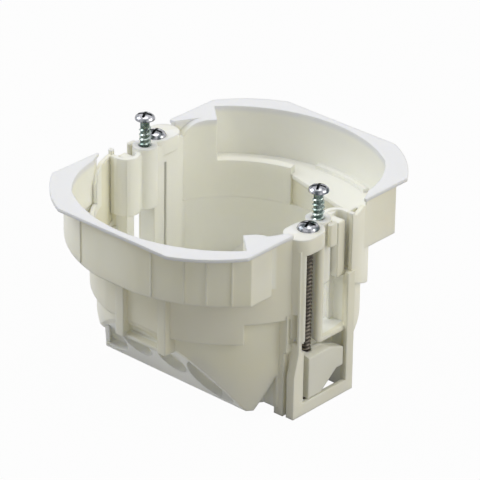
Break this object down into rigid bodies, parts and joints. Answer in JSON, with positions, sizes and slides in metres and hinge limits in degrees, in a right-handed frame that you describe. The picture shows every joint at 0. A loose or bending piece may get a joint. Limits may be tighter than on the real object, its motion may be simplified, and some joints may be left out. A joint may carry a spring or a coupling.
{
  "type": "old work box",
  "caption": "Round hollow-wall electrical device box with crescent side pockets, a thin flange, sloped ends with cable knock-outs and swing-out clamping claws.",
  "frame": {"origin": "on the surface that the box stands on, under its centre", "axes": "+Z out of the wall, +X along the long axis, -Y towards the near station"},
  "size_m": [0.0868, 0.0732, 0.0597],
  "materials": {
    "moulding": "ivory, satin moulded",
    "claw": "ivory, satin moulded",
    "screw": "bright zinc plate"
  },
  "bodies": {
    "box": {"box_body": "moulding"},
    "near_clamp_screw": {"near_clamp_screw": "screw"},
    "near_claw": {"near_claw": "claw"},
    "near_device_screw": {"near_device_screw": "screw"},
    "far_clamp_screw": {"far_clamp_screw": "screw"},
    "far_claw": {"far_claw": "claw"},
    "far_device_screw": {"far_device_screw": "screw"}
  },
  "joints": [
    {"name": "near_clamp_turn", "type": "hinge", "parent": "box", "child": "near_clamp_screw", "pos_m": [-0.006, -0.032, 0.0435], "axis": [0, 0, 1], "continuous": true},
    {"name": "near_claw_swing", "type": "hinge", "parent": "box", "child": "near_claw", "pos_m": [-0.006, -0.032, 0.0435], "axis": [0, 0, -1], "range_deg": [0, 90]},
    {"name": "near_device_drive", "type": "slide", "parent": "box", "child": "near_device_screw", "axis": [0, 0, -1], "range_m": [0, 0.0068]},
    {"name": "far_clamp_turn", "type": "hinge", "parent": "box", "child": "far_clamp_screw", "pos_m": [0.006, 0.032, 0.0435], "axis": [0, 0, 1], "continuous": true},
    {"name": "far_claw_swing", "type": "hinge", "parent": "box", "child": "far_claw", "pos_m": [0.006, 0.032, 0.0435], "axis": [0, 0, -1], "range_deg": [0, 90]},
    {"name": "far_device_drive", "type": "slide", "parent": "box", "child": "far_device_screw", "axis": [0, 0, -1], "range_m": [0, 0.0068]}
  ]
}
